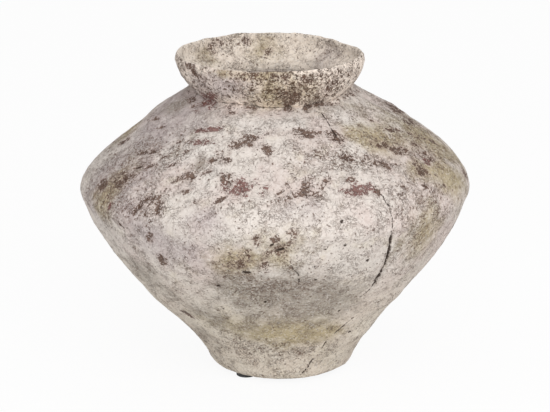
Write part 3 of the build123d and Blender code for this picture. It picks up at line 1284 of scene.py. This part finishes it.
class JAR_OT_wall_courses(ClayOperator, bpy.types.Operator):
    """Builds the weathered courses of the wall"""

    bl_idname = "jar.wall_courses"
    bl_label = "Wall Courses"
    nodes = WALL_COURSES


class JAR_OT_collar(ClayOperator, bpy.types.Operator):
    """Builds the weathered collar and lip"""

    bl_idname = "jar.collar"
    bl_label = "Collar and Lip"
    nodes = COLLAR_PIECES


class JAR_OT_seam_coils(bpy.types.Operator):
    """Builds the finger-pressed coils over the seams"""

    bl_idname = "jar.seam_coils"
    bl_label = "Seam Coils"
    bl_options = {"REGISTER", "UNDO"}

    def execute(self, context):
        wall = Wall(context.scene.jar_build)
        material = shared_material(bare_clay, context.scene.jar_finish)
        for node in SEAM_COILS:
            pressed_coil(node, wall, material)
        return {"FINISHED"}


class JAR_OT_floor_pads(bpy.types.Operator):
    """Gives the floor pads their rubber"""

    bl_idname = "jar.floor_pads"
    bl_label = "Floor Pads"
    bl_options = {"REGISTER", "UNDO"}

    def execute(self, context):
        material = shared_material(pad_rubber, context.scene.jar_finish)
        for node in FLOOR_PADS:
            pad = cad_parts[node].data
            pad.materials.clear()
            pad.materials.append(material)
        return {"FINISHED"}


class JAR_OT_stage(bpy.types.Operator):
    """Sets the floor, lights and camera"""

    bl_idname = "jar.stage"
    bl_label = "Stage"
    bl_options = {"REGISTER", "UNDO"}

    def execute(self, context):
        stage = context.scene.jar_stage
        self.lay_floor(context, stage)
        self.light(context, stage)
        self.aim_camera(context)
        context.scene.view_settings.view_transform = "Standard"
        return {"FINISHED"}

    def lay_floor(self, context, stage):
        """A plain floor under the jar."""
        sheet = bmesh.new()
        bmesh.ops.create_grid(sheet, x_segments=1, y_segments=1, size=stage.floor_size / 2)
        mesh = bpy.data.meshes.new("studio_floor")
        sheet.to_mesh(mesh)
        sheet.free()
        mesh.materials.append(pale_floor(stage))
        floor = bpy.data.objects.new("studio_floor", mesh)
        context.collection.objects.link(floor)

    def light(self, context, stage):
        """Soft light from all round, and a large soft light above the camera."""
        world = bpy.data.worlds.new("studio_light")
        world.use_nodes = True
        world.node_tree.nodes.clear()
        shade = Shade(world.node_tree)
        strength = stage.ambient + seen_directly(shade) * (1 - stage.ambient)
        sky = shade.node("ShaderNodeBackground", {}, {"Color": (1, 1, 1, 1), "Strength": strength})
        shade.node("ShaderNodeOutputWorld", {}, {"Surface": sky})
        context.scene.world = world
        lamp = bpy.data.lights.new("key_light", "AREA")
        lamp.size = stage.key_size
        lamp.energy = stage.key_power
        key = bpy.data.objects.new("key_light", lamp)
        key.location = KEY_PLACE
        key.rotation_euler = (Vector((0, 0, BELLY_HEIGHT)) - key.location).to_track_quat("-Z", "Y").to_euler()
        context.collection.objects.link(key)

    def aim_camera(self, context):
        """The photograph's camera."""
        view = PhotoCamera()
        data = bpy.data.cameras.new("photo_camera")
        data.sensor_width = SENSOR
        data.lens = LENS_PIXELS / IMAGE_WIDTH * SENSOR
        camera = bpy.data.objects.new("photo_camera", data)
        camera.location = view.place
        camera.rotation_euler = (-view.back).to_track_quat("-Z", "Y").to_euler()
        context.collection.objects.link(camera)
        context.scene.camera = camera


class JAR_PT_panel(bpy.types.Panel):
    """Lists the jar's pieces and settings"""

    bl_idname = "JAR_PT_panel"
    bl_label = "Storage Jar"
    bl_space_type = "VIEW_3D"
    bl_region_type = "UI"
    bl_category = "Jar"

    def draw(self, context):
        for group in (context.scene.jar_build, context.scene.jar_finish, context.scene.jar_stage):
            box = self.layout.box()
            for name in group.__annotations__:
                box.prop(group, name)
        for operator in OPERATORS:
            self.layout.operator(operator.bl_idname)


OPERATORS = (
    JAR_OT_base_disc,
    JAR_OT_wall_courses,
    JAR_OT_collar,
    JAR_OT_seam_coils,
    JAR_OT_floor_pads,
    JAR_OT_stage,
)
CLASSES = (JarBuild, JarFinish, JarStage, *OPERATORS, JAR_PT_panel)


def register():
    """Adds the settings, operators and panel."""
    for cls in CLASSES:
        bpy.utils.register_class(cls)
    bpy.types.Scene.jar_build = PointerProperty(type=JarBuild)
    bpy.types.Scene.jar_finish = PointerProperty(type=JarFinish)
    bpy.types.Scene.jar_stage = PointerProperty(type=JarStage)


def unregister():
    """Takes away what register added."""
    del bpy.types.Scene.jar_stage
    del bpy.types.Scene.jar_finish
    del bpy.types.Scene.jar_build
    for cls in reversed(CLASSES):
        bpy.utils.unregister_class(cls)


def main():
    """Builds every piece in order."""
    register()
    bpy.ops.jar.base_disc()
    bpy.ops.jar.wall_courses()
    bpy.ops.jar.collar()
    bpy.ops.jar.seam_coils()
    bpy.ops.jar.floor_pads()
    bpy.ops.jar.stage()


if __name__ == "__main__":
    main()
